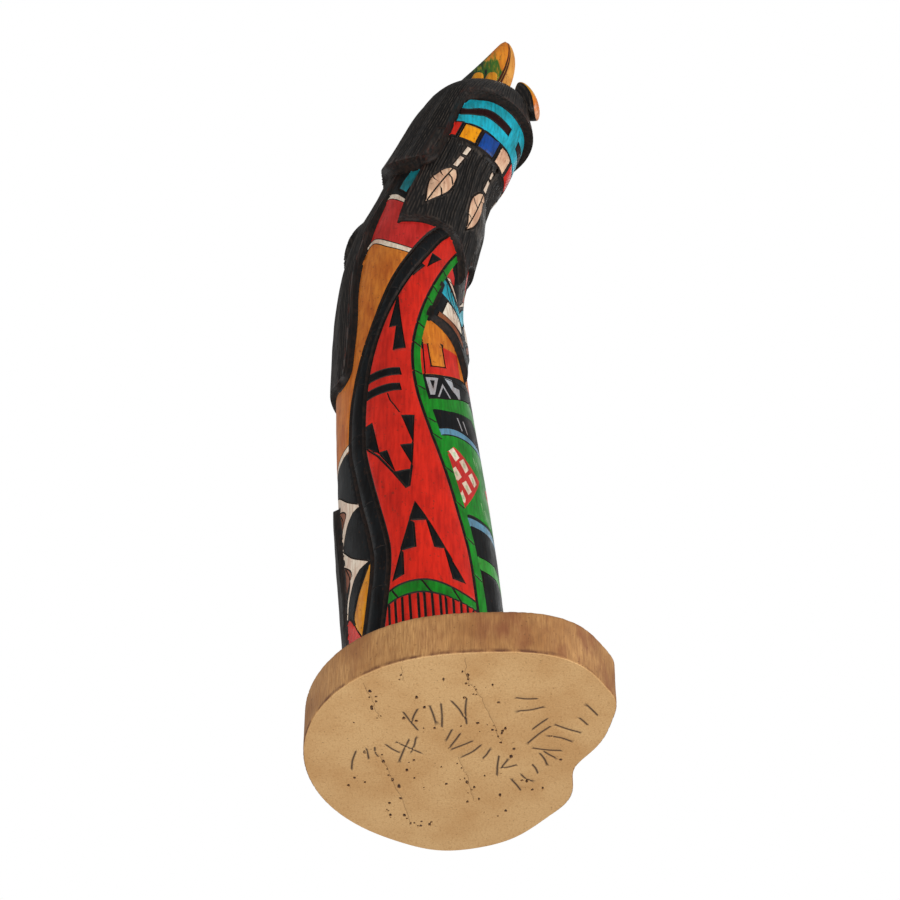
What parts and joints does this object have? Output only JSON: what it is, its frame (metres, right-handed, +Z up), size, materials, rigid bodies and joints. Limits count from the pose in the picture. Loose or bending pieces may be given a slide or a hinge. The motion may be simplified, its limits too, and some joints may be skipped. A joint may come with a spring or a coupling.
{
  "type": "kachina doll",
  "caption": "Carved and painted cottonwood root doll: a robed figure with masked head, long hair and feather crown, standing on a sawn wood slab.",
  "frame": {"origin": "middle of the slab's footprint, on its underside, where the doll stands", "axes": "+Z up; the slab lies in XY; the root bends towards +X, and the face looks towards +X and a little towards -Y"},
  "size_m": [0.1006, 0.1028, 0.384],
  "materials": {
    "bare_cottonwood": "sawn and sanded, unpainted, matt",
    "painted_cottonwood": "acrylic paint and stain over carved and burnt wood, satin"
  },
  "bodies": {
    "root": {"base": "bare_cottonwood", "figure": "painted_cottonwood"}
  },
  "joints": []
}
